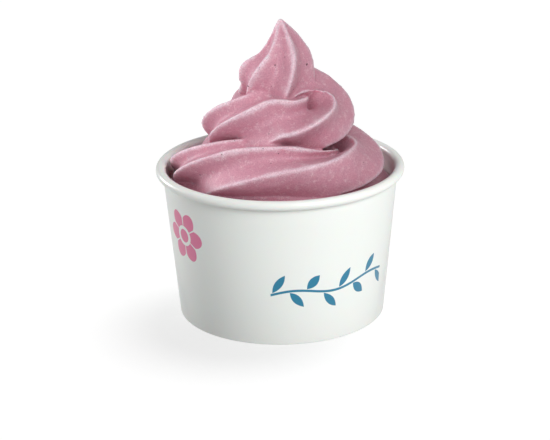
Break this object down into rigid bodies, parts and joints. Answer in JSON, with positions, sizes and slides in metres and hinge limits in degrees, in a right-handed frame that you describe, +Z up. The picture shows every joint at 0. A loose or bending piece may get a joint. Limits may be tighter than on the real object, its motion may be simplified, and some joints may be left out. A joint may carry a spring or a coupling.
{
  "type": "frozen yogurt cup",
  "caption": "Round paper dessert cup with a rolled rim, filled with frozen yogurt piped from a star nozzle into a ridged, stacked swirl with a pointed tip",
  "frame": {"origin": "centre of the ring that the cup stands on, on the surface under it", "axes": "+Z up along the cup's axis; -Y is the front; +X is to the right as seen from the front"},
  "size_m": [0.096, 0.096, 0.116],
  "materials": {
    "paper": "smooth coated white paperboard with a soft sheen",
    "yogurt": null
  },
  "bodies": {
    "root": {"paper_cup": "paper", "frozen_yogurt": "yogurt"}
  },
  "joints": []
}
